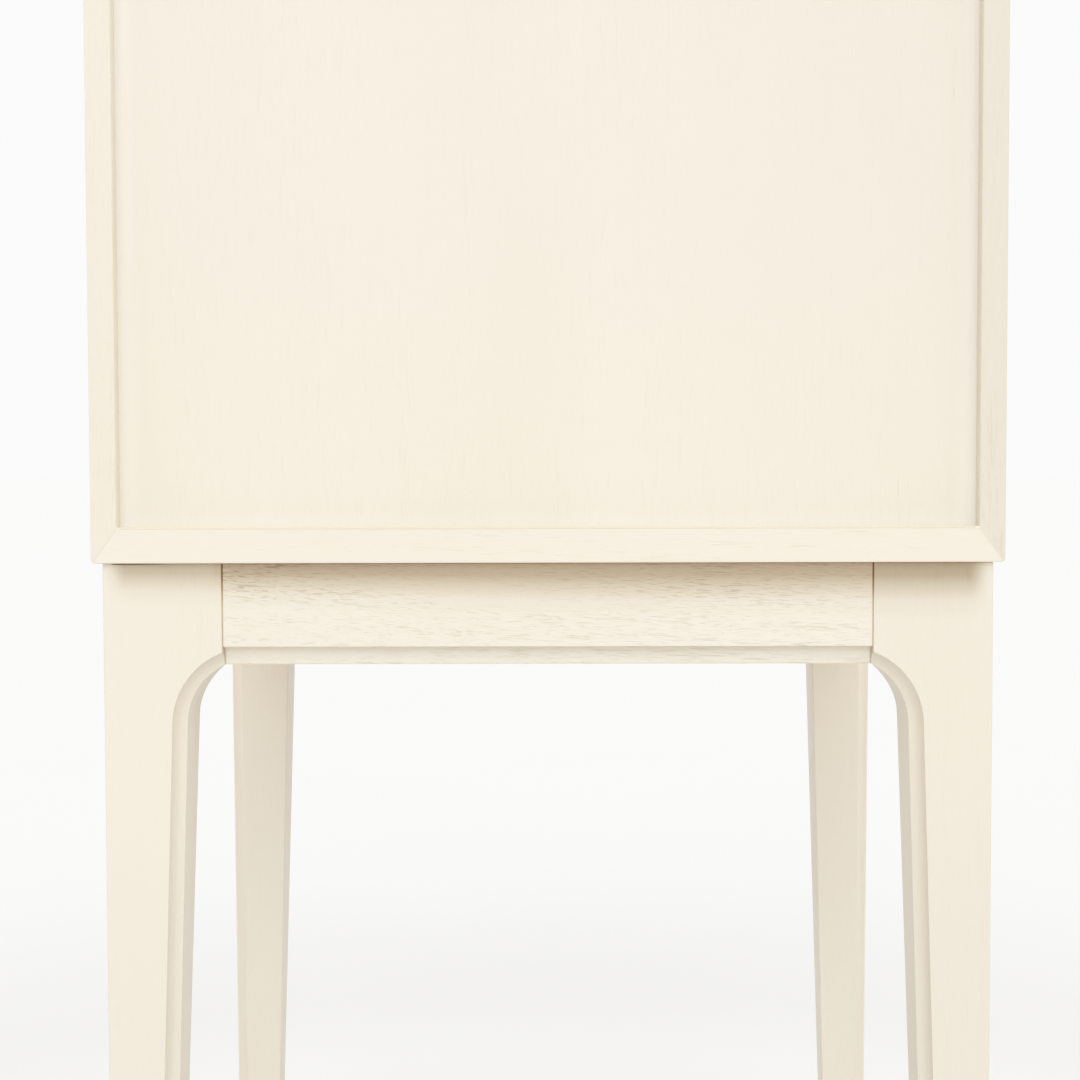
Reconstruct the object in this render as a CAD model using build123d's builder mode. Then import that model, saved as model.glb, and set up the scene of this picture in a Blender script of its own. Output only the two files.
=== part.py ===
from build123d import *
import os
from math import acos, atan2, cos, degrees, hypot, isclose, radians, sin, sqrt

# Apothecary cabinet: a mitred case of twelve small drawers on a tall stand with tapered legs.
# The case's plain recessed back faces +Y, the drawers open towards -Y, and +Z is up.
# The origin is on the floor under the centre of the overall box, knobs included. Millimetres.

os.makedirs("parts", exist_ok=True)

# Driving dimensions of the case
case_width = 508
case_depth = 457
case_height = 580
side_board = 15  # thickness of the side boards
level_board = 20  # thickness of the top and bottom boards
rim_drop = 2  # the rim's outer edge lies this far back from its inner edge
case_corner = 2.5  # radius along the four mitred corners
case_arris = 0.8
panel_thickness = 8
panel_recess = 10  # from the rim to the face of the back panel
groove_depth = 5  # grooves and housings in the case boards
spline_width = 10
spline_thickness = 3
spline_length = 410

# Driving dimensions of the grid and the drawers
columns = 3
rows = 4
grid_board = 12
grid_setback = 2.5  # the grid and the drawer fronts sit behind the front rim
grid_arris = 0.6
front_gap = 1.5  # all round a drawer front
front_thickness = 18
front_arris = 1.5
box_side_gap = 2
box_lift = 0.3  # under the drawer sides
box_side = 10
box_side_height = 104
box_reach = 416  # from the drawer's face to the back of its sides
box_rebate = 6  # how far sides and bottom enter the drawer front
bottom_thickness = 5
bottom_height = 8  # from the foot of the drawer side to the bottom
bottom_groove = 5
box_arris = 2
stop_size = 12
stop_width = 36
stop_gap = 0.3
knob_projection = 24.5
knob_rim = 19  # from the drawer's face to the start of the knob's dome
knob_rim_height = 2.5
knob_radius = 13
knob_waist = 8.5  # from the drawer's face to the narrowest part
knob_waist_radius = 5
knob_foot_height = 1.6
knob_foot_radius = 9.5
knob_lower_cove = (6.1, 3.8)  # radius and height of a point half way round each cove
knob_upper_cove = (7.6, 13.4)
knob_bore = 11
knob_screw_radius = 2
knob_screw_head = 4
screw_pan = 2.5

# Driving dimensions of the stand
stand_height = 560
stand_inset = 5.6  # the case overhangs the stand by this much all round
apron_height = 57.6
apron_thickness = 20
shoulder_width = 66.9  # the leg's square head
knee_width = 45.2  # the leg's square section just below the shoulder
foot_width = 30
shoulder_radius = 37
cove_width = 7  # on the legs, seen from the face
cove_height = 10.8  # on the aprons, seen from the face
cove_depth = 8.4
cove_overrun = 12  # the cutter runs on this many mm below the foot and degrees past the seam
leg_arris = 1.2
foot_arris = 1
top_arris = 0.6  # along the top outer edge of the legs and aprons
apron_arris = 1
seam_chamfer = 0.5  # leg and apron meet in a fine V
dowel_radius = 5
dowel_length = 40
dowel_drops = (16, 38)  # below the top of the stand
cleat_size = 20
cleat_end_gap = 25
screw_radius = 2
screw_head_radius = 4
screw_bite = 12  # into the case bottom
screw_from_middle = 100  # along each cleat
glide_radius = 10
glide_height = 3
glide_pin_radius = 1.5
glide_pin_length = 12

# Planes and sizes worked out from them
knob_reach = knob_projection - grid_setback
middle_y = knob_reach / 2
front_y = middle_y - case_depth / 2
back_y = middle_y + case_depth / 2
inside_width = case_width - 2 * side_board
inside_height = case_height - 2 * level_board
inside_floor = stand_height + level_board
inside_ceiling = inside_floor + inside_height
case_middle_z = stand_height + case_height / 2
panel_back_y = back_y - panel_recess
panel_front_y = panel_back_y - panel_thickness
grid_front_y = front_y + grid_setback
grid_depth = panel_front_y - grid_front_y
grid_middle_y = (panel_front_y + grid_front_y) / 2
cell_width = (inside_width - (columns - 1) * grid_board) / columns
cell_height = (inside_height - (rows - 1) * grid_board) / rows
stand_width = case_width - 2 * stand_inset
stand_depth = case_depth - 2 * stand_inset
stand_left_x = -stand_width / 2
stand_front_y = middle_y - stand_depth / 2
stand_back_y = middle_y + stand_depth / 2


def write(piece, name):
    """Label a finished piece and write it as a STEP file of its own."""
    piece.part.label = name
    export_step(piece.part, f"parts/{name}.step")


# ---------------------------------------------------------------- grid of cells
divider_xs = [(column - columns / 2) * (cell_width + grid_board) for column in range(1, columns)]
shelf_zs = [inside_floor + row * (cell_height + grid_board) - grid_board / 2 for row in range(1, rows)]
shelf_names = ["shelf_lower", "shelf_middle", "shelf_upper"]
divider_names = ["divider_left", "divider_right"]
lap = grid_depth / 2

shelves = []
for name, z in zip(shelf_names, shelf_zs):
    with BuildPart() as shelf:
        with Locations((0, grid_middle_y, z)):
            Box(inside_width + 2 * groove_depth, grid_depth, grid_board)
        chamfer(shelf.edges().filter_by(Axis.X).group_by(Axis.Y)[0], grid_arris)
        with Locations([(x, panel_front_y - lap / 2, z) for x in divider_xs]):
            Box(grid_board, lap, grid_board, mode=Mode.SUBTRACT)
    write(shelf, name)
    shelves.append(shelf)

dividers = []
for name, x in zip(divider_names, divider_xs):
    with BuildPart() as divider:
        with Locations((x, grid_middle_y, case_middle_z)):
            Box(grid_board, grid_depth, inside_height + 2 * groove_depth)
        chamfer(divider.edges().filter_by(Axis.Z).group_by(Axis.Y)[0], grid_arris)
        with Locations([(x, grid_front_y + lap / 2, z) for z in shelf_zs]):
            Box(grid_board, lap, grid_board, mode=Mode.SUBTRACT)
    write(divider, name)
    dividers.append(divider)

with BuildPart() as back_panel:
    with Locations((0, (panel_back_y + panel_front_y) / 2, case_middle_z)):
        Box(inside_width + 2 * groove_depth, panel_thickness, inside_height + 2 * groove_depth)
write(back_panel, "back_panel")

# Splines lie across the middle of each mitre, square to it.
mitre_length = hypot(side_board, level_board)
with BuildPart() as corner_splines:
    for side in (-1, 1):
        for level in (-1, 1):
            centre = (
                side * (case_width - side_board) / 2,
                middle_y,
                case_middle_z + level * (case_height - level_board) / 2,
            )
            across = (side * level_board / mitre_length, 0, -level * side_board / mitre_length)
            with BuildSketch(Plane(origin=centre, x_dir=across, z_dir=(0, 1, 0))):
                Rectangle(spline_width, spline_thickness)
    extrude(amount=spline_length / 2, both=True)
write(corner_splines, "corner_splines")

# ---------------------------------------------------------------- case boards
rim_plane = Plane.XZ.offset(-back_y)

# Screws up through the cleats hold the case to the stand.
cleat_x = stand_width / 2 - apron_thickness - cleat_size / 2
cleat_front_y = stand_front_y + apron_thickness + cleat_size / 2
cleat_back_y = stand_back_y - apron_thickness - cleat_size / 2
along = (-screw_from_middle, screw_from_middle)
screw_spots = [(x, y) for x in along for y in (cleat_front_y, cleat_back_y)]
screw_spots += [(x, middle_y + y) for x in (-cleat_x, cleat_x) for y in along]

with BuildPart() as stand_screws:
    with BuildSketch(Plane.XY.offset(stand_height - cleat_size)):
        with Locations(screw_spots):
            Circle(screw_radius)
    extrude(amount=cleat_size + screw_bite)
    with Locations([(x, y, stand_height - cleat_size) for x, y in screw_spots]):
        Cone(
            screw_head_radius,
            screw_radius,
            screw_head_radius - screw_radius,
            align=(Align.CENTER, Align.CENTER, Align.MIN),
        )
write(stand_screws, "stand_screws")


def level_outline(level):
    """Mitred outline of the bottom board (level -1) or the top board (level 1)."""
    outer = case_middle_z + level * case_height / 2
    inner = case_middle_z + level * inside_height / 2
    with BuildSketch() as outline:
        with BuildLine():
            Polyline(
                (-case_width / 2, outer),
                (case_width / 2, outer),
                (inside_width / 2, inner),
                (-inside_width / 2, inner),
                close=True,
            )
        make_face()
        with Locations((0, case_middle_z)):
            RectangleRounded(case_width, case_height, case_corner, mode=Mode.INTERSECT)
    return outline.sketch


def side_outline(side):
    """Mitred outline of the left board (side -1) or the right board (side 1)."""
    outer = side * case_width / 2
    inner = side * inside_width / 2
    with BuildSketch() as outline:
        with BuildLine():
            Polyline(
                (outer, stand_height),
                (outer, stand_height + case_height),
                (inner, inside_ceiling),
                (inner, inside_floor),
                close=True,
            )
        make_face()
        with Locations((0, case_middle_z)):
            RectangleRounded(case_width, case_height, case_corner, mode=Mode.INTERSECT)
    return outline.sketch


for name, level in (("case_bottom", -1), ("case_top", 1)):
    outer = case_middle_z + level * case_height / 2
    inner = case_middle_z + level * inside_height / 2
    with BuildPart() as level_board_part:
        with BuildSketch(rim_plane):
            add(level_outline(level))
        extrude(amount=case_depth)
        with BuildSketch(Plane.YZ):
            for rim_y, inward in ((front_y, 1), (back_y, -1)):
                with BuildLine():
                    Polyline(
                        (rim_y, inner),
                        (rim_y, outer),
                        (rim_y + inward * rim_drop, outer),
                        close=True,
                    )
                make_face()
        extrude(amount=case_width / 2, both=True, mode=Mode.SUBTRACT)
        rim_edges = level_board_part.edges().filter_by(Axis.X).group_by(Axis.Y)
        fillet(rim_edges[0] + rim_edges[1] + rim_edges[-2] + rim_edges[-1], case_arris)
        for piece in [back_panel, corner_splines, stand_screws] + dividers:
            add(piece.part, mode=Mode.SUBTRACT)
    write(level_board_part, name)

for name, side in (("case_side_left", -1), ("case_side_right", 1)):
    outer = side * case_width / 2
    inner = side * inside_width / 2
    with BuildPart() as side_board_part:
        with BuildSketch(rim_plane):
            add(side_outline(side))
        extrude(amount=case_depth)
        with BuildSketch(Plane.XY.offset(stand_height)):
            for rim_y, inward in ((front_y, 1), (back_y, -1)):
                with BuildLine():
                    Polyline(
                        (inner, rim_y),
                        (outer, rim_y),
                        (outer, rim_y + inward * rim_drop),
                        close=True,
                    )
                make_face()
        extrude(amount=case_height, mode=Mode.SUBTRACT)
        rim_edges = side_board_part.edges().filter_by(Axis.Z).group_by(Axis.Y)
        fillet(rim_edges[0] + rim_edges[1] + rim_edges[-2] + rim_edges[-1], case_arris)
        for piece in [back_panel, corner_splines] + shelves:
            add(piece.part, mode=Mode.SUBTRACT)
    write(side_board_part, name)

# ---------------------------------------------------------------- stand
# Side view of a leg, u inwards from the outer face: a square head, a concave shoulder of one
# radius, and a straight taper that leaves the shoulder at a tangent and ends at the foot.
shoulder_centre_u = knee_width + shoulder_radius
shoulder_rise = sqrt(shoulder_radius**2 - (shoulder_centre_u - shoulder_width) ** 2)
shoulder_centre_z = stand_height - apron_height - shoulder_rise
seam_angle = degrees(atan2(shoulder_rise, shoulder_width - shoulder_centre_u))
foot_run = foot_width - shoulder_centre_u
foot_drop = glide_height - shoulder_centre_z
foot_angle = degrees(atan2(foot_drop, foot_run)) % 360
knee_angle = foot_angle - degrees(acos(shoulder_radius / hypot(foot_run, foot_drop)))
knee_u = shoulder_centre_u + shoulder_radius * cos(radians(knee_angle))
knee_z = shoulder_centre_z + shoulder_radius * sin(radians(knee_angle))


def leg_outline(outer):
    """Closed side view of a leg whose outer face stands at outer."""
    with BuildSketch() as outline:
        with BuildLine():
            shoulder = CenterArc(
                (outer + shoulder_centre_u, shoulder_centre_z),
                shoulder_radius,
                seam_angle,
                knee_angle - seam_angle,
            )
            Polyline(
                shoulder @ 1,
                (outer + foot_width, glide_height),
                (outer, glide_height),
                (outer, stand_height),
                (outer + shoulder_width, stand_height),
                shoulder @ 0,
            )
        make_face()
    return outline.sketch


def on_diagonal(edge):
    """Whether a leg's edge lies midway between its two faces, as its corners do."""
    middle = edge.center()
    return isclose(middle.X - stand_left_x, middle.Y - stand_front_y, abs_tol=0.01)


def cove_edge(face, outer):
    """The line that a leg's cove follows on a face, run on past the foot and the seam."""
    start_u = knee_u + (foot_width - knee_u) * (knee_z + cove_overrun) / (knee_z - glide_height)
    with BuildLine(face) as edge:
        Line((outer + start_u, -cove_overrun), (outer + knee_u, knee_z))
        CenterArc(
            (outer + shoulder_centre_u, shoulder_centre_z),
            shoulder_radius,
            knee_angle,
            seam_angle - knee_angle - cove_overrun,
        )
    return edge.line


front_edge = cove_edge(Plane.XZ.offset(-stand_front_y), stand_left_x)
with BuildPart() as front_cove:
    with BuildSketch(Plane(origin=front_edge @ 0, x_dir=(0, 1, 0), z_dir=front_edge % 0)):
        Ellipse(cove_depth, cove_width)
    sweep(path=front_edge)

side_edge = cove_edge(Plane.YZ.offset(stand_left_x), stand_front_y)
with BuildPart() as side_cove:
    with BuildSketch(Plane(origin=side_edge @ 0, x_dir=(1, 0, 0), z_dir=side_edge % 0)):
        Ellipse(cove_depth, cove_width)
    sweep(path=side_edge)

# Two dowels stand one above the other in each joint between a leg and an apron.
dowel_zs = [stand_height - drop for drop in dowel_drops]
seam_x = stand_width / 2 - shoulder_width
seam_front_y = stand_front_y + shoulder_width
seam_back_y = stand_back_y - shoulder_width
apron_middle_ys = (stand_front_y + apron_thickness / 2, stand_back_y - apron_thickness / 2)
apron_middle_x = stand_width / 2 - apron_thickness / 2
with BuildPart() as apron_dowels:
    with BuildSketch(Plane.YZ):
        with Locations([(y, z) for y in apron_middle_ys for z in dowel_zs]):
            Circle(dowel_radius)
    extrude(amount=seam_x + dowel_length / 2, both=True)
    with Locations((0, middle_y, stand_height)):
        Box(2 * seam_x - dowel_length, stand_depth, 2 * apron_height, mode=Mode.SUBTRACT)
    with BuildSketch(Plane.XZ.offset(-seam_front_y)):
        with Locations([(x, z) for x in (-apron_middle_x, apron_middle_x) for z in dowel_zs]):
            Circle(dowel_radius)
    extrude(amount=dowel_length / 2, both=True)
    with BuildSketch(Plane.XZ.offset(-seam_back_y)):
        with Locations([(x, z) for x in (-apron_middle_x, apron_middle_x) for z in dowel_zs]):
            Circle(dowel_radius)
    extrude(amount=dowel_length / 2, both=True)
write(apron_dowels, "apron_dowels")

# Glides with a pin stand under the feet.
foot_x = stand_width / 2 - foot_width / 2
foot_ys = (stand_front_y + foot_width / 2, stand_back_y - foot_width / 2)
foot_spots = [(x, y) for x in (-foot_x, foot_x) for y in foot_ys]
with BuildPart() as foot_glides:
    with BuildSketch():
        with Locations(foot_spots):
            Circle(glide_radius)
    extrude(amount=glide_height)
    fillet(foot_glides.edges().group_by(Axis.Z)[0], glide_height / 3)
    with BuildSketch():
        with Locations(foot_spots):
            Circle(glide_pin_radius)
    extrude(amount=glide_height + glide_pin_length)
write(foot_glides, "foot_glides")

with BuildPart() as front_left:
    with BuildSketch(Plane.XZ.offset(-stand_front_y)):
        add(leg_outline(stand_left_x))
    extrude(amount=-shoulder_width)
    with BuildSketch(Plane.YZ.offset(stand_left_x)):
        add(leg_outline(stand_front_y))
    extrude(amount=shoulder_width, mode=Mode.INTERSECT)
    fillet(front_left.edges().filter_by(on_diagonal), leg_arris)
    foot_edges = front_left.edges().group_by(Axis.Z)[0]
    chamfer(foot_edges, foot_arris)
    top_edges = front_left.edges().group_by(Axis.Z)[-1]
    outer_top = top_edges.sort_by_distance((stand_left_x, stand_front_y, stand_height))[:3]
    chamfer(outer_top, top_arris)
    front_seam = (stand_left_x + shoulder_width, stand_front_y, stand_height)
    side_seam = (stand_left_x, stand_front_y + shoulder_width, stand_height)
    upright = front_left.edges().filter_by(Axis.Z)
    seams = [upright.sort_by_distance(front_seam)[0], upright.sort_by_distance(side_seam)[0]]
    chamfer(seams, seam_chamfer)
    add(front_cove.part, mode=Mode.SUBTRACT)
    add(side_cove.part, mode=Mode.SUBTRACT)

leg_mirrors = {
    "leg_front_left": [],
    "leg_front_right": [Plane.YZ],
    "leg_rear_left": [Plane.XZ.offset(-middle_y)],
    "leg_rear_right": [Plane.YZ, Plane.XZ.offset(-middle_y)],
}
for name, planes in leg_mirrors.items():
    shape = front_left.part
    for plane in planes:
        shape = shape.mirror(plane)
    with BuildPart() as leg:
        add(shape)
        add(apron_dowels.part, mode=Mode.SUBTRACT)
        add(foot_glides.part, mode=Mode.SUBTRACT)
    write(leg, name)


def apron_section(outer, inward):
    """Apron cut across: its outer face at outer, with the cove along the lower edge."""
    bottom = stand_height - apron_height
    with BuildSketch() as section:
        with Locations((outer + inward * apron_thickness / 2, bottom + apron_height / 2)):
            Rectangle(apron_thickness, apron_height)
        with Locations((outer, bottom)):
            Ellipse(cove_depth, cove_height, mode=Mode.SUBTRACT)
        corners = section.vertices()
        outer_top = corners.sort_by_distance((outer, stand_height))[0]
        inner_foot = corners.sort_by_distance((outer + inward * apron_thickness, bottom))[0]
        chamfer(outer_top, top_arris)
        fillet(inner_foot, apron_arris)
    return section.sketch


for name, outer, inward in (("apron_front", stand_front_y, 1), ("apron_rear", stand_back_y, -1)):
    with BuildPart() as long_apron:
        with BuildSketch(Plane.YZ):
            add(apron_section(outer, inward))
        extrude(amount=seam_x, both=True)
        upright = long_apron.edges().filter_by(Axis.Z)
        seams = [upright.sort_by_distance((end * seam_x, outer, stand_height))[0] for end in (-1, 1)]
        chamfer(seams, seam_chamfer)
        add(apron_dowels.part, mode=Mode.SUBTRACT)
    write(long_apron, name)

for name, side in (("apron_left", -1), ("apron_right", 1)):
    with BuildPart() as short_apron:
        with BuildSketch(Plane.XZ.offset(-seam_front_y)):
            add(apron_section(side * stand_width / 2, -side))
        extrude(amount=-(seam_back_y - seam_front_y))
        upright = short_apron.edges().filter_by(Axis.Z)
        ends = (seam_front_y, seam_back_y)
        seams = [upright.sort_by_distance((side * stand_width / 2, y, stand_height))[0] for y in ends]
        chamfer(seams, seam_chamfer)
        add(apron_dowels.part, mode=Mode.SUBTRACT)
    write(short_apron, name)

long_cleat = 2 * (seam_x - cleat_end_gap)
short_cleat = seam_back_y - seam_front_y - 2 * cleat_end_gap
with BuildPart() as cleats:
    cleat_z = stand_height - cleat_size / 2
    with Locations((0, cleat_front_y, cleat_z), (0, cleat_back_y, cleat_z)):
        Box(long_cleat, cleat_size, cleat_size)
    with Locations((-cleat_x, middle_y, cleat_z), (cleat_x, middle_y, cleat_z)):
        Box(cleat_size, short_cleat, cleat_size)
    add(stand_screws.part, mode=Mode.SUBTRACT)
write(cleats, "cleats")

# ---------------------------------------------------------------- drawers
# One drawer is modelled about the middle of its face, x to the right, y up and z out of the face,
# and then set in every cell.
front_width = cell_width - 2 * front_gap
front_height = cell_height - 2 * front_gap
box_width = cell_width - 2 * box_side_gap
box_foot = -cell_height / 2 + box_lift
side_x = (box_width - box_side) / 2
side_middle_y = box_foot + box_side_height / 2
side_length = box_reach - front_thickness + box_rebate
side_middle_z = side_length / 2 - box_reach
floor_width = box_width - 2 * (box_side - bottom_groove)
floor_middle_y = box_foot + bottom_height + bottom_thickness / 2
back_height = box_side_height - bottom_height - bottom_thickness
back_middle_y = box_foot + box_side_height - back_height / 2

with BuildPart() as drawer_floor:
    with Locations((0, floor_middle_y, side_middle_z)):
        Box(floor_width, bottom_thickness, side_length)

with BuildPart() as drawer_sides:
    with Locations((-side_x, side_middle_y, side_middle_z), (side_x, side_middle_y, side_middle_z)):
        Box(box_side, box_side_height, side_length)
    fillet(drawer_sides.edges().filter_by(Axis.Z).group_by(Axis.Y)[-1], box_arris)
    add(drawer_floor.part, mode=Mode.SUBTRACT)

with BuildPart() as drawer_back:
    with Locations((0, back_middle_y, box_side / 2 - box_reach)):
        Box(box_width - 2 * box_side, back_height, box_side)
    fillet(drawer_back.edges().filter_by(Axis.X).group_by(Axis.Y)[-1], box_arris)

# The knob's screw is turned about z, with its head inside the drawer.
with BuildPart() as knob_screw:
    with BuildSketch(Plane.XZ):
        with BuildLine():
            Polyline(
                (0, -front_thickness - screw_pan),
                (knob_screw_head - 1, -front_thickness - screw_pan),
                (knob_screw_head, -front_thickness - screw_pan + 1),
                (knob_screw_head, -front_thickness),
                (knob_screw_radius, -front_thickness),
                (knob_screw_radius, knob_bore),
                (0, knob_bore),
                close=True,
            )
        make_face()
    revolve(axis=Axis.Z)

# The knob is turned about z: a foot, a waist and a domed head.
dome_rise = knob_projection - knob_rim
dome_radius = (knob_radius**2 + dome_rise**2) / (2 * dome_rise)
dome_centre = knob_projection - dome_radius
dome_start = degrees(atan2(knob_rim - dome_centre, knob_radius))
with BuildPart() as knob:
    with BuildSketch(Plane.XZ):
        with BuildLine():
            foot = Polyline((0, 0), (knob_foot_radius, 0), (knob_foot_radius, knob_foot_height))
            lower_cove = ThreePointArc(foot @ 1, knob_lower_cove, (knob_waist_radius, knob_waist))
            rim_foot = (knob_radius, knob_rim - knob_rim_height)
            ThreePointArc(lower_cove @ 1, knob_upper_cove, rim_foot)
            Line(rim_foot, (knob_radius, knob_rim))
            CenterArc((0, dome_centre), dome_radius, dome_start, 90 - dome_start)
            Line((0, knob_projection), (0, 0))
        make_face()
    revolve(axis=Axis.Z)
    add(knob_screw.part, mode=Mode.SUBTRACT)

with BuildPart() as drawer_front:
    with Locations((0, 0, -front_thickness / 2)):
        Box(front_width, front_height, front_thickness)
    fillet(drawer_front.faces().sort_by(Axis.Z)[-1].edges(), front_arris)
    for piece in (drawer_sides, drawer_floor, knob_screw):
        add(piece.part, mode=Mode.SUBTRACT)

drawer_pieces = {
    "drawer_front": [drawer_front],
    "drawer_box": [drawer_sides, drawer_floor, drawer_back],
    "drawer_knob": [knob, knob_screw],
}
cell_xs = [(column - (columns - 1) / 2) * (cell_width + grid_board) for column in range(columns)]
cell_zs = [inside_floor + cell_height / 2 + row * (cell_height + grid_board) for row in range(rows)]

for row, z in enumerate(reversed(cell_zs), start=1):
    for column, x in enumerate(cell_xs, start=1):
        cell = Plane(origin=(x, grid_front_y, z), x_dir=(1, 0, 0), z_dir=(0, -1, 0))
        for name, pieces in drawer_pieces.items():
            placed = [cell.location * solid for piece in pieces for solid in piece.solids()]
            node = f"{name}_row_{row}_column_{column}"
            export_step(Compound(label=node, children=placed), f"parts/{node}.step")

# A block behind each drawer stops it flush with the grid.
stop_y = grid_front_y + box_reach + stop_gap + stop_size / 2
with BuildPart() as drawer_stops:
    with Locations([(x, stop_y, z - (cell_height - stop_size) / 2) for x in cell_xs for z in cell_zs]):
        Box(stop_width, stop_size, stop_size)
write(drawer_stops, "drawer_stops")
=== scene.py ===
import math
from types import SimpleNamespace

import bpy
from mathutils import Matrix, Vector


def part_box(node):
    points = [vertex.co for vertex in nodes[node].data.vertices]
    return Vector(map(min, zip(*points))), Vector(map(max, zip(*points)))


# A cream-painted apothecary cabinet on a tall stand, seen from its plain recessed back.
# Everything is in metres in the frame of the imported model: +Z up, the drawers open towards -Y.
# Every visible shape is a CAD node; this script adds materials, a floor, light and a camera.

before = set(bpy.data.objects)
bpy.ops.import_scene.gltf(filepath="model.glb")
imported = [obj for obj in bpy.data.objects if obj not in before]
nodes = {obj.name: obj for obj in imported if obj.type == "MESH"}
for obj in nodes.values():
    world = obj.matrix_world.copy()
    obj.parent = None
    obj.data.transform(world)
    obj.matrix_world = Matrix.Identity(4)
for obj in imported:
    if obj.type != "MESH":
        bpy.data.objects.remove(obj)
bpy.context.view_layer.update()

# ---------------------------------------------------------------- sizes read from the frame
case_low, case_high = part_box("case_bottom")
case_top_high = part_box("case_top")[1]
panel_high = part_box("back_panel")[1]
rear_leg_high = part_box("leg_rear_right")[1]
apron_low, apron_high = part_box("apron_rear")
side_apron_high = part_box("apron_left")[1]

middle_y = (case_low.y + case_high.y) / 2
stand_top = rear_leg_high.z
stand_half_x = rear_leg_high.x
stand_half_y = rear_leg_high.y - middle_y
seam_x = apron_high.x
seam_y = side_apron_high.y - middle_y
leg_block = stand_half_x - seam_x
apron_foot = apron_low.z
side_board = 0.015
level_board = 0.020
opening_x = case_high.x - side_board
opening_foot = case_low.z + level_board
opening_top = case_top_high.z - level_board

# ---------------------------------------------------------------- colours, scene linear
CREAM = (0.790, 0.715, 0.585)
OAK_PALE = (0.62, 0.45, 0.27, 1)
OAK_DARK = (0.38, 0.24, 0.12, 1)
BEECH_PALE = (0.60, 0.42, 0.26, 1)
BEECH_DARK = (0.48, 0.31, 0.18, 1)
BRASS = (0.66, 0.46, 0.19, 1)
BRASS_WORN = (0.40, 0.26, 0.10, 1)
STEEL = (0.56, 0.56, 0.57, 1)
STEEL_WORN = (0.38, 0.37, 0.36, 1)
NYLON_DARK = (0.050, 0.040, 0.032, 1)
NYLON_PALE = (0.085, 0.070, 0.055, 1)

# tints, which multiply the colour below them
DEEPENED = (0.980, 0.972, 0.962)  # where the coat lies thicker
PORE = (0.62, 0.53, 0.43)
# tan wax in the joints, and also the colour of painted shade in the coves and round the recess
GLAZE_AND_SHADE = (0.42, 0.26, 0.11)  # tan wax
JOINT = (0.38, 0.28, 0.20)  # open joint between case and leg
# painted light: the lower part of the aprons' coves made lighter
COVE_LIGHT_TINT = (1.065, 1.075, 1.090)
# painted shade: the legs darker towards the foot
LEG_FOOT_SHADE = (0.955, 0.967, 0.987)
# painted light and shade on the back panel
PANEL_SIDE_LIGHT = (1.090, 1.130, 1.200)
PANEL_FOOT_SHADE = (0.975, 0.980, 0.990)
PANEL_FOOT_LIGHT = (1.005, 1.030, 1.070)
PANEL_UPPER = (0.992, 0.986, 1.008)
PANEL_SIDE_SHADE = (0.978, 0.978, 0.978)

# painted shadow under the case's overhang on the top of the stand: depth below the case, tint
CASE_SHADOW_TINTS = (
    (0.0005, (0.62, 0.50, 0.385)),
    (0.0012, (0.55, 0.455, 0.365)),
    (0.0030, (0.50, 0.425, 0.340)),
    (0.0070, (0.50, 0.44, 0.36)),
    (0.0125, (0.69, 0.64, 0.58)),
    (0.0210, (0.92, 0.91, 0.89)),
    (0.0310, (1.0, 1.0, 1.0)),
)

# ---------------------------------------------------------------- where the coat changes
# Each pair says where a change starts and ends, in metres.
# heights from the top of the stand
# painted shade under the case darkens the seams over these heights
SEAM_SHADE_REACH = (-0.026, -0.006)
# painted shade under the case darkens the pores over these heights
PORE_SHADE_REACH = (-0.024, -0.004)
# drop below the top of the stand
JOINT_DEPTH = (0.0007, 0.0012)
# heights from the aprons' foot
SEAM_FOOT = (-0.0005, 0.0005)
# painted shade in the legs' coves fades over these heights
LEG_COVE_SHADE = (-0.030, -0.002)
# painted shade along the aprons' foot
ABOVE_FOOT = (-0.001, 0.0)
FOOT_LINE = (0.0002, 0.0011)
# painted light low in the aprons' coves, over these heights
COVE_LIT = (0.0055, 0.0090)
# painted shade in the top of the aprons' coves
COVE_TOP = (0.0070, 0.0095)
# distances in from the faces of the stand
# the painted shadow under the case fades out over this distance from the outer corners
SHADOW_CORNER_FADE = (0.001, 0.014)
JOINT_RIM = (0.004, 0.007)
COVE_LIT_RIM = (0.0015, 0.0040)
TOP_RIM = (0.0004, 0.0012)
# where the painted shade in the legs' coves lies
HOLLOW_RIM = (0.0003, 0.0012)
HOLLOW_FLOOR = (0.0060, 0.0082)
HOLLOW_SIDE = (0.020, 0.024)
LEG_EDGE = (0.0, 0.0005)  # from the legs' square heads
# along X
JOINT_OPENS = (0.202, 0.230)
# the painted shadow under the case is lighter past this seam, on the +X legs
SHADOW_LEG_FADE = (-0.008, 0.008)  # from the seam
PANEL_TURN = (-0.20, -0.02)
# heights from the floor
LEG_TURN = (0.30, 0.48)
# beside the case's opening, and in from its edges over the panel
OPENING_LINE = (0.0003, 0.0008)
OPENING_WALL = (0.0035, 0.0080)  # from the panel's face
ARRIS_END = (-0.002, 0.0)
# reaches of the painted light and shade on the back panel
SIDES_LIT = (0.001, 0.014)
FOOT_SHADED = (0.004, 0.030)
FOOT_LIT = (0.001, 0.012)
UPPER_PANEL = (0.050, 0.180)
# share of a board's width either side of the mitre
MITRE_LINE = (0.012, 0.045)
MITRE_START = (0.0, 0.05)

# how much of a tint shows
SEAM_SHADE_AMOUNTS = (0.44, 0.92)  # below and in the shelter of the case
PORE_SHADE_AMOUNTS = (0.30, 0.85)
PLAIN_PORES = 0.45
# strengths of the painted shade in the coves and along the aprons' foot
LEG_COVE_SHADE_AMOUNT = 0.10
FOOT_LINE_AMOUNT = 0.22
COVE_TOP_AMOUNT = 0.07
HOLLOW_FLOOR_AMOUNT = 0.3
# how much of the painted shadow under the case is left on the +X legs
SHADOW_LEG_AMOUNT = 0.78
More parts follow.
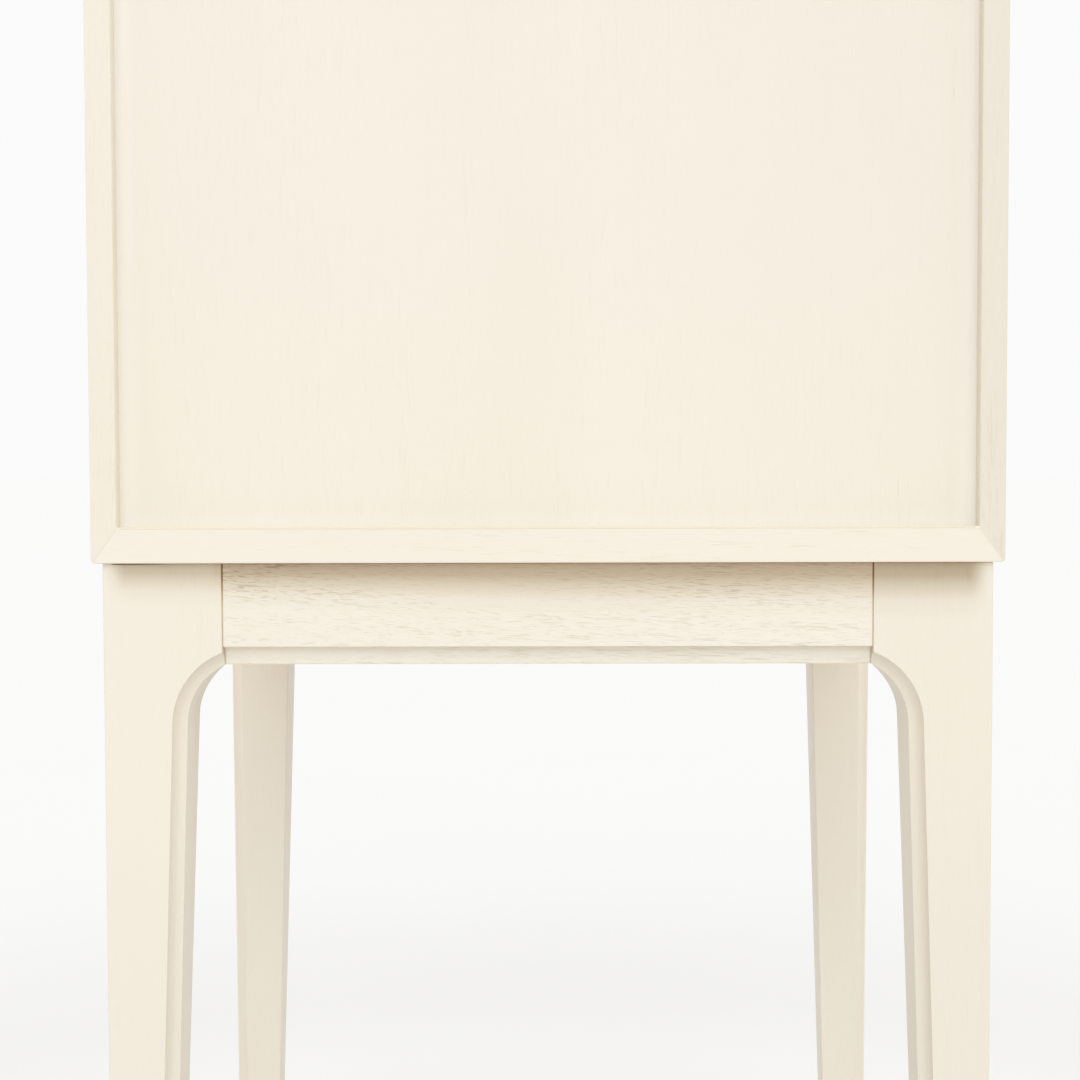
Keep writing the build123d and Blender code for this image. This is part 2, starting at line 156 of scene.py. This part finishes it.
# strengths of the painted shade round the recess and along its lower arris
ARRIS_AMOUNT = 0.70
RECESS_SHADE_AMOUNT = 0.38
MITRE_AMOUNT = 0.22

# ---------------------------------------------------------------- grain and tool marks
RING_SPACING = 0.0052
BARE_RING_SPACING = 0.0045
RING_WANDER = 0.030
# cycles per metre along and across the grain
PATCH_SCALES = (4, 16)
DASH_SCALES = (58, 1450)
FLECK_SCALES = (130, 1800)
CLOUD_SCALES = (3, 9)
BRUSH_SCALES = (18, 420)
RIPPLE_SCALES = (45, 700)
TOOL_LINES = 900.0  # cycles per metre
BUMP_DEPTH = 0.0003

# ---------------------------------------------------------------- light
DOME_STRENGTH = 0.1
# turn from +Y towards +X and height in degrees, sharpness and strength of each soft light
SOFT_LIGHTS = (
    (0, 25, 5.0, 1.21),
    (0, 45, 6.0, 0.90),
    (70, 35, 5.0, 1.25),
    (-70, 35, 5.0, 1.50),
    (180, 35, 3.0, 1.25),
)
LIGHT_COLOUR = (1.0, 0.995, 0.985, 1)
BACKDROP = 0.905
FLOOR = 0.65
FLOOR_LIFT_NEAR = 0.095
FLOOR_LIFT_FAR = 0.140
FLOOR_LIFT_UNDER = 0.060
# distances from the origin over which the lift changes
LIFT_REACH = (0.95, 1.6)
UNDER_REACH = (0.58, 0.88)
SHOULDER = 1.4  # exponent of the soft highlight curve

# ---------------------------------------------------------------- camera
CAMERA_BACK = 1.0160  # from the case's back rim
CAMERA_ABOVE_STAND = 0.0579
CAMERA_ASIDE = -0.0050
CAMERA_ANGLES = (0.500, -2.542, -0.141)  # turn, tilt and roll in degrees
SENSOR_WIDTH = 36.0  # mm
LENS = 61.22  # mm
CLIP_END = 500.0


class Graph:
    """Short ways to add and join the shader nodes of one material or world."""

    def __init__(self, owner, output="OutputMaterial"):
        self.owner = owner
        owner.use_nodes = True
        self.tree = owner.node_tree
        self.tree.nodes.clear()
        self.output = self.add(output)

    def add(self, kind, inputs=None, **settings):
        node = self.tree.nodes.new("ShaderNode" + kind)
        for key, value in settings.items():
            setattr(node, key, value)
        for key, value in (inputs or {}).items():
            self.put(node.inputs[key], value)
        return node

    def put(self, socket, value):
        if isinstance(value, bpy.types.NodeSocket):
            self.tree.links.new(value, socket)
        else:
            socket.default_value = value

    def math(self, operation, a, b=0.0, c=0.0, clamp=False):
        node = self.add("Math", {0: a, 1: b, 2: c}, operation=operation, use_clamp=clamp)
        return node.outputs[0]

    def mix(self, factor, a, b, blend="MIX"):
        node = self.add("Mix", data_type="RGBA", blend_type=blend)
        self.put(node.inputs[0], factor)
        self.put(node.inputs[6], a)
        self.put(node.inputs[7], b)
        return node.outputs[2]

    def step(self, value, low, high, out_low=0.0, out_high=1.0):
        """Smooth ramp from out_low at low to out_high at high."""
        node = self.add("MapRange", interpolation_type="SMOOTHSTEP")
        for socket, number in zip(node.inputs[:5], (value, low, high, out_low, out_high)):
            self.put(socket, number)
        return node.outputs[0]

    def fade(self, value, low, high):
        """Smooth ramp from 1 at low to 0 at high."""
        return self.step(value, low, high, 1.0, 0.0)

    def apart(self, a, b):
        """Distance between two values."""
        return self.math("ABSOLUTE", self.math("SUBTRACT", a, b))

    def product(self, first, *others):
        for other in others:
            first = self.math("MULTIPLY", first, other)
        return first

    def greatest(self, first, *others):
        for other in others:
            first = self.math("MAXIMUM", first, other)
        return first

    def noise(self, vector, scale, detail=2.0, roughness=0.5):
        inputs = {"Vector": vector, "Scale": scale, "Detail": detail, "Roughness": roughness}
        return self.add("TexNoise", inputs).outputs["Fac"]

    def tint(self, amount, colour, tint):
        """Multiply a colour by a tint, as far as amount says."""
        return self.mix(amount, colour, (*tint, 1), "MULTIPLY")

    def ramp(self, value, reach, stops):
        """Colour along value, given as (value, colour) stops from 0 to reach."""
        node = self.add("ValToRGB", {0: self.math("DIVIDE", value, reach, clamp=True)})
        elements = node.color_ramp.elements
        while len(elements) < len(stops):
            elements.new(0.5)
        for element, (spot, colour) in zip(elements, stops):
            element.position = spot / reach
            element.color = (*colour, 1)
        return node.outputs[0]

    def position(self):
        """Place in the object's own axes, which are the row frame's at rest and ride with its body."""
        return self.add("TexCoord").outputs["Object"]

    def scaled(self, vector, scale, shift=(0, 0, 0)):
        node = self.add("Mapping", {"Vector": vector, "Scale": scale, "Location": shift})
        return node.outputs[0]

    def by_camera_ray(self, others, seen):
        """One shader for what the camera sees, another for all other light."""
        camera_ray = self.add("LightPath").outputs["Is Camera Ray"]
        return self.add("MixShader", {0: camera_ray, 1: others.outputs[0], 2: seen.outputs[0]})

    def show(self, shader):
        self.put(self.output.inputs["Surface"], shader.outputs[0])

    def surface(self, colour, roughness, bump=None, bump_strength=0.3, bump_distance=0.001, **constants):
        shader = self.add("BsdfPrincipled")
        self.put(shader.inputs["Base Color"], colour)
        self.put(shader.inputs["Roughness"], roughness)
        for key, value in constants.items():
            shader.inputs[key.replace("_", " ")].default_value = value
        if bump is not None:
            relief = self.add("Bump", {"Height": bump, "Strength": bump_strength, "Distance": bump_distance})
            self.put(shader.inputs["Normal"], relief.outputs[0])
        self.show(shader)
        return self.owner


GRAIN_AXES = {"X": (1, 0, 0), "Y": (0, 1, 0), "Z": (0, 0, 1)}


def stretched(graph, place, grain, scales, shift):
    """Place scaled by the first number along the grain and by the second across it."""
    along, across = scales
    scale = tuple(along if part else across for part in GRAIN_AXES[grain])
    return graph.scaled(place, scale, shift)


def bent(graph, place, grain, sway, slope):
    """Place pushed across the grain, so that its lines run to and fro and a little downhill."""
    slow = stretched(graph, place, grain, (3.2, 10.0), (4.7, 1.9, 8.3))
    offset = graph.product(graph.math("SUBTRACT", graph.noise(slow, 1.0, 1.5), 0.5), sway)
    lengthways = graph.add("SeparateXYZ", {0: place}).outputs[grain]
    offset = graph.math("MULTIPLY_ADD", lengthways, -slope, offset)
    across = tuple(0.0 if part else 1.0 for part in GRAIN_AXES[grain])
    push = graph.add("VectorMath", {0: across}, operation="SCALE")
    graph.put(push.inputs["Scale"], offset)
    moved = graph.add("VectorMath", {0: place, 1: push.outputs[0]}, operation="ADD")
    return moved.outputs[0]


def growth_rings(graph, place, grain, pith, spacing, wander):
    """Distance from a wandering pith line, counted in growth rings."""
    across = {"X": ("Y", "Z"), "Y": ("X", "Z"), "Z": ("X", "Y")}[grain]
    split = graph.add("SeparateXYZ", {0: place})
    slow = stretched(graph, place, grain, (2.2, 7.0), (pith[0] * 9, pith[1] * 7, 3.1))
    drift = graph.product(graph.math("SUBTRACT", graph.noise(slow, 1.0, 2.0), 0.5), wander)
    squares = []
    for axis, centre in zip(across, pith):
        offset = graph.math("SUBTRACT", split.outputs[axis], centre)
        squares.append(graph.math("MULTIPLY", offset, offset))
    distance = graph.math("SQRT", graph.math("ADD", squares[0], squares[1]))
    return graph.math("DIVIDE", graph.math("ADD", distance, drift), spacing)


def spot_of(graph, place):
    """Where a point lies: its height, and its distances from the middle planes and the stand's faces."""
    split = graph.add("SeparateXYZ", {0: place})
    x, y, height = split.outputs["X"], split.outputs["Y"], split.outputs["Z"]
    across = graph.math("ABSOLUTE", x)
    along = graph.apart(y, middle_y)
    from_side = graph.math("SUBTRACT", stand_half_x, across)
    from_end = graph.math("SUBTRACT", stand_half_y, along)
    return SimpleNamespace(x=x, y=y, height=height, across=across, along=along,
                           from_side=from_side, from_end=from_end)


def shifted(base, reach):
    return tuple(base + part for part in reach)


def seam_mask(graph, spot):
    """The fine glaze lines where legs meet aprons, darkened further by painted shade under the case."""
    half_line = 0.0008
    core = half_line * 0.35
    lines = [graph.fade(graph.apart(distance, seam), core, half_line)
             for distance, seam in ((spot.across, seam_x), (spot.along, seam_y))]
    above = graph.step(spot.height, *shifted(apron_foot, SEAM_FOOT))
    shaded_amount = graph.step(spot.height, *shifted(stand_top, SEAM_SHADE_REACH), *SEAM_SHADE_AMOUNTS)
    return graph.product(graph.greatest(*lines), above, shaded_amount)


def case_painted_shadow(graph, spot, colour):
    """Painted shadow under the case's overhang, weaker towards the stand's outer corners and on the +X legs.
    """
    drop = graph.math("SUBTRACT", stand_top, spot.height)
    # the band narrows towards +X
    narrowing, least = 1.4, 0.95
    stretch = graph.greatest(graph.math("MULTIPLY_ADD", spot.x, narrowing, least), least)
    reach = CASE_SHADOW_TINTS[-1][0]
    tint = graph.ramp(graph.product(drop, stretch), reach, CASE_SHADOW_TINTS)
    # the painted shadow fades out near the stand's outer corners and is lighter on the +X legs
    away_from_corners = graph.step(graph.greatest(spot.from_side, spot.from_end), *SHADOW_CORNER_FADE)
    wear_and_shade = graph.step(spot.x, *shifted(seam_x, SHADOW_LEG_FADE), 1.0, SHADOW_LEG_AMOUNT)
    return graph.mix(graph.product(away_from_corners, wear_and_shade), colour, tint, "MULTIPLY")


def open_joint(graph, spot):
    """The joint between case and leg, which stands a hair open at one end."""
    drop = graph.math("SUBTRACT", stand_top, spot.height)
    opens = graph.step(spot.x, *JOINT_OPENS)
    return graph.product(graph.fade(drop, *JOINT_DEPTH), opens, graph.step(spot.from_side, *JOINT_RIM))


def past_leg(graph, spot):
    """The aprons, beyond the legs' square heads."""
    return graph.step(graph.greatest(spot.from_side, spot.from_end), *shifted(leg_block, LEG_EDGE))


def cove_painted_light(graph, spot):
    """Painted light: the lower part of the aprons' coves."""
    low = graph.fade(spot.height, *shifted(apron_foot, COVE_LIT))
    inward = graph.step(graph.math("MINIMUM", spot.from_side, spot.from_end), *COVE_LIT_RIM)
    return graph.product(low, inward, past_leg(graph, spot))


def cove_painted_shade(graph, spot):
    """Painted shade in the legs' coves, in the top of the aprons' coves and along their foot."""
    sides = []
    for depth, beside in ((spot.from_end, spot.from_side), (spot.from_side, spot.from_end)):
        floor = graph.step(depth, *HOLLOW_FLOOR, 1.0, HOLLOW_FLOOR_AMOUNT)
        hollow = graph.product(graph.step(depth, *HOLLOW_RIM), floor)
        sides.append(graph.product(hollow, graph.step(beside, *HOLLOW_SIDE)))
    below_apron = graph.step(spot.height, *shifted(apron_foot, LEG_COVE_SHADE), LEG_COVE_SHADE_AMOUNT, 0.0)
    legs = graph.product(graph.greatest(*sides), below_apron)
    line = graph.step(spot.height, *shifted(apron_foot, FOOT_LINE), FOOT_LINE_AMOUNT, 0.0)
    above = graph.step(spot.height, *shifted(apron_foot, ABOVE_FOOT))
    foot = graph.product(line, above, past_leg(graph, spot))
    inward = graph.step(graph.math("MINIMUM", spot.from_side, spot.from_end), *TOP_RIM)
    top = graph.product(graph.step(spot.height, *shifted(apron_foot, COVE_TOP)), inward, COVE_TOP_AMOUNT)
    return graph.greatest(legs, foot, top)


def recess_painted_shade(graph, spot):
    """Painted shade on the surround's inner walls beside the back panel, and along its lower arris."""
    wall = graph.fade(graph.apart(spot.y, panel_high.y), *OPENING_WALL)
    within = graph.fade(spot.across, *shifted(opening_x, OPENING_LINE))
    above = graph.step(spot.height, *shifted(opening_foot, OPENING_LINE))
    below = graph.fade(spot.height, *shifted(opening_top, OPENING_LINE))
    arris_drop = 0.0006
    to_arris = graph.apart(spot.height, opening_foot - arris_drop)
    arris = graph.step(to_arris, *OPENING_LINE, ARRIS_AMOUNT, 0.0)
    arris = graph.product(arris, graph.fade(spot.across, *shifted(opening_x, ARRIS_END)))
    return graph.greatest(graph.product(wall, within, above, below), arris)


def mitre_mask(graph, spot):
    """The hairline along the four mitres, seen on the case's rims."""
    over = graph.math("DIVIDE", graph.math("SUBTRACT", spot.across, opening_x), side_board)
    below = graph.math("SUBTRACT", opening_foot, spot.height)
    above = graph.math("SUBTRACT", spot.height, opening_top)
    beyond = graph.math("DIVIDE", graph.greatest(below, above), level_board)
    line = graph.fade(graph.apart(over, beyond), *MITRE_LINE)
    return graph.product(line, graph.step(over, *MITRE_START))


def stand_marks(graph, spot, colour):
    """Everything that the legs and aprons show at a place of its own: the painted shadow under the case, the
    open joint, painted shade towards the feet, the glaze seams, painted light low in the aprons' coves and
    painted shade in the coves.
    """
    colour = case_painted_shadow(graph, spot, colour)
    colour = graph.tint(open_joint(graph, spot), colour, JOINT)
    # painted shade: the legs darker towards the foot
    colour = graph.tint(graph.fade(spot.height, *LEG_TURN), colour, LEG_FOOT_SHADE)
    colour = graph.tint(seam_mask(graph, spot), colour, GLAZE_AND_SHADE)
    colour = graph.tint(cove_painted_light(graph, spot), colour, COVE_LIGHT_TINT)
    return graph.tint(cove_painted_shade(graph, spot), colour, GLAZE_AND_SHADE)


def case_marks(graph, spot, colour):
    """Painted shade round the recess, and wax in the mitres."""
    colour = graph.tint(graph.product(recess_painted_shade(graph, spot), RECESS_SHADE_AMOUNT), colour, GLAZE_AND_SHADE)
    return graph.tint(graph.product(mitre_mask(graph, spot), MITRE_AMOUNT), colour, GLAZE_AND_SHADE)


def panel_painted_light(graph, spot, colour):
    """Painted light and shade on the back panel: lighter beside its upright edges and right along its foot,
    a little darker above its foot and towards -X, and a slightly cooler tone higher up.
    """
    to_side = graph.math("SUBTRACT", opening_x, spot.across)
    to_foot = graph.math("SUBTRACT", spot.height, opening_foot)
    colour = graph.tint(graph.fade(to_side, *SIDES_LIT), colour, PANEL_SIDE_LIGHT)
    colour = graph.tint(graph.fade(to_foot, *FOOT_SHADED), colour, PANEL_FOOT_SHADE)
    colour = graph.tint(graph.fade(to_foot, *FOOT_LIT), colour, PANEL_FOOT_LIGHT)
    colour = graph.tint(graph.step(to_foot, *UPPER_PANEL), colour, PANEL_UPPER)
    return graph.tint(graph.fade(spot.x, *PANEL_TURN), colour, PANEL_SIDE_SHADE)


MARKS = {"stand": stand_marks, "case": case_marks, "panel": panel_painted_light}


def painted_oak(name, grain, pith=(0.0, 0.0), strength=1.0, tone=1.0, sway=0.006, slope=0.0, marks=""):
    """Satin cream paint over open-grained oak: pores show as fine dashes along the grain."""
    graph = Graph(bpy.data.materials.new(name))
    place = graph.position()
    spot = spot_of(graph, place)
    seed = (sum(map(ord, name)) % 97) * 0.13
    shift = (seed, seed * 1.7, seed * 0.6)
    line = bent(graph, place, grain, sway, slope)

    def pattern(where, scales, detail, roughness=0.5):
        return graph.noise(stretched(graph, where, grain, scales, shift), 1.0, detail, roughness)

    phase = graph.math("FRACT", growth_rings(graph, place, grain, pith, RING_SPACING, RING_WANDER))
    early = graph.product(graph.step(phase, 0.0, 0.12), graph.fade(phase, 0.30, 0.62))
    early = graph.math("MULTIPLY_ADD", early, 0.65, 0.35)
    patches = graph.step(pattern(place, PATCH_SCALES, 2.0), 0.30, 0.60, 0.25)
    pores = graph.product(graph.step(pattern(line, DASH_SCALES, 1.0, 0.6), 0.58, 0.70), early)
    flecks = graph.product(graph.step(pattern(line, FLECK_SCALES, 1.0, 0.6), 0.59, 0.72), 0.50)
    holes = graph.product(graph.greatest(pores, flecks), patches)
    holes = graph.math("MULTIPLY", holes, strength, clamp=True)

    cloud = pattern(place, CLOUD_SCALES, 3.0)
    coat = tuple(part * tone for part in CREAM)
    colour = graph.tint(graph.step(cloud, 0.35, 0.70), (*coat, 1), DEEPENED)
    brush = graph.step(pattern(line, BRUSH_SCALES, 3.0, 0.6), 0.45, 0.75)
    colour = graph.tint(graph.product(brush, 0.05 * strength), colour, PORE)
    pore_stain_and_shade = PLAIN_PORES
    # on the stand the pores darken towards its top, as painted shade under the case
    if marks == "stand":
        pore_stain_and_shade = graph.step(spot.height, *shifted(stand_top, PORE_SHADE_REACH), *PORE_SHADE_AMOUNTS)
    colour = graph.tint(graph.product(holes, pore_stain_and_shade), colour, PORE)
    if marks:
        colour = MARKS[marks](graph, spot, colour)

    ripple = pattern(line, RIPPLE_SCALES, 2.0, 0.55)
    height = graph.math("SUBTRACT", graph.product(ripple, 0.35 * strength), holes)
    roughness = graph.step(cloud, 0.3, 0.8, 0.44, 0.52)
    relief = min(0.95, 0.30 + 0.33 * strength)
    return graph.surface(colour, roughness, height, relief, BUMP_DEPTH)


def bare_wood(name, grain, pith, pale, dark):
    """Clear-finished wood with its rings and pores in plain sight."""
    graph = Graph(bpy.data.materials.new(name))
    place = graph.position()
    seed = (sum(map(ord, name)) % 89) * 0.17
    shift = (seed, seed * 1.3, seed * 0.8)
    phase = graph.math("FRACT", growth_rings(graph, place, grain, pith, BARE_RING_SPACING, RING_WANDER))
    late = graph.step(phase, 0.15, 0.95)
    cloud = graph.noise(stretched(graph, place, grain, (3, 12), shift), 1.0, 3.0)
    dashes = graph.noise(stretched(graph, place, grain, (110, 1500), shift), 1.0, 1.0, 0.6)
    early = graph.step(phase, 0.10, 0.50, 1.0, 0.15)
    pores = graph.product(graph.step(dashes, 0.58, 0.68), early)
    colour = graph.mix(graph.product(late, 0.45), pale, dark)
    colour = graph.mix(graph.product(cloud, 0.35), colour, dark)
    colour = graph.mix(graph.product(pores, 0.55), colour, dark)
    height = graph.math("SUBTRACT", graph.product(dashes, 0.2), pores)
    return graph.surface(colour, graph.step(cloud, 0.3, 0.8, 0.42, 0.56), height, 0.35, BUMP_DEPTH)


def metal(name, colour, wear_and_shade, roughness):
    """Turned or plated metal with fine tool lines and a little tarnish."""
    graph = Graph(bpy.data.materials.new(name))
    place = graph.position()
    lines = graph.noise(graph.scaled(place, (1, 6, 1)), TOOL_LINES, 2.0, 0.5)
    tarnish = graph.noise(place, 110.0, 4.0, 0.6)
    mixed = graph.mix(graph.step(tarnish, 0.45, 0.80), colour, wear_and_shade)
    polish = graph.step(tarnish, 0.4, 0.8, roughness, roughness + 0.14)
    rough = graph.math("ADD", graph.product(lines, 0.10), polish)
    return graph.surface(mixed, rough, lines, 0.10, 0.0001, Metallic=1.0)


def nylon(name):
    """Dark moulded plastic with a faint mould texture."""
    graph = Graph(bpy.data.materials.new(name))
    place = graph.position()
    speckle = graph.noise(place, 900.0, 3.0, 0.6)
    colour = graph.mix(speckle, NYLON_DARK, NYLON_PALE)
    return graph.surface(colour, graph.step(speckle, 0.2, 0.8, 0.42, 0.58), speckle, 0.2, 0.0002)


def dress(names, material):
    """Give CAD nodes a material in place of their plain one."""
    for name in names:
        slots = nodes[name].material_slots
        if not slots:
            nodes[name].data.materials.append(material)
        for slot in slots:
            slot.material = material


def dress_case():
    """Each board has its own stretch of grain, so neighbours never match."""
    dress(["back_panel"], painted_oak("panel_paint", "Z", (0.06, 0.31), 0.25, 0.985, marks="panel"))
    dress(["case_top"], painted_oak("top_paint", "X", (0.02, 1.05), 0.5, 1.04, marks="case"))
    # the bottom's lighter tone is painted light
    dress(["case_bottom"], painted_oak("bottom_paint", "X", (0.10, 0.50), 0.4, 1.05, marks="case"))
    # the side boards' tones differ as painted shade, the -X board darker
    for name, pith, strength, tone in (
        ("case_side_left", (-0.32, 0.05), 0.7, 0.875),
        ("case_side_right", (0.33, -0.03), 0.4, 0.98),
    ):
        dress([name], painted_oak(name + "_paint", "Z", pith, strength, tone, marks="case"))
    for name, spot in (("divider_left", -0.07), ("divider_right", 0.09)):
        dress([name], painted_oak(name + "_paint", "Z", (spot, 0.02), 0.5))
    for index, name in enumerate(("shelf_lower", "shelf_middle", "shelf_upper")):
        dress([name], painted_oak(name + "_paint", "X", (0.03, 0.62 + 0.15 * index), 0.5))


def dress_stand():
    """The aprons' grain runs lengthways and shows most; the legs' grain is faint."""
    for name, grain, pith in (
        ("apron_rear", "X", (0.17, 0.555)),
        ("apron_front", "X", (-0.14, 0.545)),
        ("apron_left", "Y", (-0.19, 0.540)),
        ("apron_right", "Y", (0.18, 0.550)),
    ):
        dress([name], painted_oak(name + "_paint", grain, pith, 1.2, 1.01, 0.012, 0.05, "stand"))
    # the legs' tones are painted light and shade: the front legs lighter, the rear legs darker, most at -X
    for index, (name, tone) in enumerate((
        ("leg_front_left", 1.035),
        ("leg_front_right", 1.035),
        ("leg_rear_left", 0.96),
        ("leg_rear_right", 0.985),
    )):
        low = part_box(name)[0]
        pith = (low.x * 0.6, low.y * 0.6 + 0.01 * index)
        dress([name], painted_oak(name + "_paint", "Z", pith, 0.3, tone, marks="stand"))


def dress_drawers():
    """Painted fronts, clear-finished boxes and brass knobs."""
    brass = metal("brass_knob", BRASS, BRASS_WORN, 0.22)
    box_wood = bare_wood("drawer_box_wood", "Y", (0.05, 0.70), OAK_PALE, OAK_DARK)
    for name in nodes:
        if name.startswith("drawer_front"):
            low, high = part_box(name)
            pith = ((low.y + high.y) / 2 + 0.04, (low.z + high.z) / 2 - 0.05)
            dress([name], painted_oak(name + "_paint", "X", pith, 0.6))
        elif name.startswith("drawer_box"):
            dress([name], box_wood)
        elif name.startswith("drawer_knob"):
            dress([name], brass)


def dress_fittings():
    """Hidden and small pieces."""
    beech = bare_wood("beech_blocks", "X", (0.02, 0.50), BEECH_PALE, BEECH_DARK)
    dress(["drawer_stops", "corner_splines", "apron_dowels", "cleats"], beech)
    dress(["stand_screws"], metal("plated_steel", STEEL, STEEL_WORN, 0.30))
    dress(["foot_glides"], nylon("brown_nylon"))


def make_floor():
    """Plain pale floor, far wider than the view; a little of its brightness is its own."""
    half = 60.0
    mesh = bpy.data.meshes.new("floor")
    corners = [(-half, -half, 0), (half, -half, 0), (half, half, 0), (-half, half, 0)]
    mesh.from_pydata(corners, [], [(0, 1, 2, 3)])
    floor = bpy.data.objects.new("floor", mesh)
    bpy.context.scene.collection.objects.link(floor)
    graph = Graph(bpy.data.materials.new("floor_paint"))
    place = graph.position()
    tone = graph.step(graph.noise(place, 1.5, 2.0), 0.0, 1.0, 0.99, 1.01)
    colour = graph.mix(1.0, (FLOOR, FLOOR, FLOOR, 1), tone, "MULTIPLY")
    mesh.materials.append(graph.surface(colour, 0.9, Specular_IOR_Level=0.0))
    lit = graph.output.inputs["Surface"].links[0].from_node
    # painted light: only the camera sees the floor glow, which is stronger far off and close round the
    # cabinet
    distance = graph.add("VectorMath", {0: place}, operation="LENGTH").outputs["Value"]
    lift = graph.step(distance, *LIFT_REACH, FLOOR_LIFT_NEAR, FLOOR_LIFT_FAR)
    lift = graph.math("ADD", lift, graph.step(distance, *UNDER_REACH, FLOOR_LIFT_UNDER, 0.0))
    glow = graph.add("Emission", {"Color": (1, 1, 1, 1), "Strength": lift})
    seen = graph.add("AddShader", {0: lit.outputs[0], 1: glow.outputs[0]})
    graph.show(graph.by_camera_ray(lit, seen))


def soft_light(graph, direction, turn, height, sharpness, strength):
    """Strength of a soft light that fills the part of the dome round one direction."""
    turn, height = math.radians(turn), math.radians(height)
    level = math.cos(height)
    towards = (math.sin(turn) * level, math.cos(turn) * level, math.sin(height))
    facing = graph.add("VectorMath", {0: direction, 1: towards}, operation="DOT_PRODUCT").outputs["Value"]
    facing = graph.math("MAXIMUM", facing, 0.0)
    return graph.product(graph.math("POWER", facing, sharpness), strength)


def make_light():
    """A white studio dome with soft lights filling parts of it, and a plain pale backdrop."""
    world = bpy.data.worlds.new("studio")
    bpy.context.scene.world = world
    graph = Graph(world, "OutputWorld")
    direction = graph.add("TexCoord").outputs["Generated"]
    total = DOME_STRENGTH
    for light in SOFT_LIGHTS:
        total = graph.math("ADD", soft_light(graph, direction, *light), total)
    dome = graph.add("Background", {"Color": LIGHT_COLOUR, "Strength": total})
    backdrop = graph.add("Background", {"Color": (BACKDROP, BACKDROP, BACKDROP, 1)})
    graph.show(graph.by_camera_ray(dome, backdrop))


def set_tones():
    """Plain display tones with the highlights rolled off softly, as a camera's curve does."""
    view = bpy.context.scene.view_settings
    view.view_transform = "Standard"
    view.use_curve_mapping = True
    points = view.curve_mapping.curves[3].points
    steps = 10
    for index in range(1, steps):
        level = index / steps
        points.new(level, 1 - (1 - level) ** SHOULDER)
    view.curve_mapping.update()


def make_camera():
    """A camera behind the cabinet, level with the foot of the case and turned slightly down."""
    turn, tilt, roll = (math.radians(angle) for angle in CAMERA_ANGLES)
    forward = Vector((math.sin(turn) * math.cos(tilt), -math.cos(turn) * math.cos(tilt), math.sin(tilt)))
    right = forward.cross(Vector((0, 0, 1))).normalized()
    up = right.cross(forward)
    right, up = (right * math.cos(roll) + up * math.sin(roll), up * math.cos(roll) - right * math.sin(roll))
    camera = bpy.data.objects.new("camera", bpy.data.cameras.new("camera"))
    camera.data.sensor_width = SENSOR_WIDTH
    camera.data.lens = LENS
    camera.data.clip_end = CLIP_END
    bpy.context.scene.collection.objects.link(camera)
    axes = Matrix((right, up, -forward)).transposed()
    place = Vector((CAMERA_ASIDE, case_high.y + CAMERA_BACK, stand_top + CAMERA_ABOVE_STAND))
    camera.matrix_world = Matrix.Translation(place) @ axes.to_4x4()
    bpy.context.scene.camera = camera


dress_case()
dress_stand()
dress_drawers()
dress_fittings()
make_floor()
make_light()
make_camera()
set_tones()
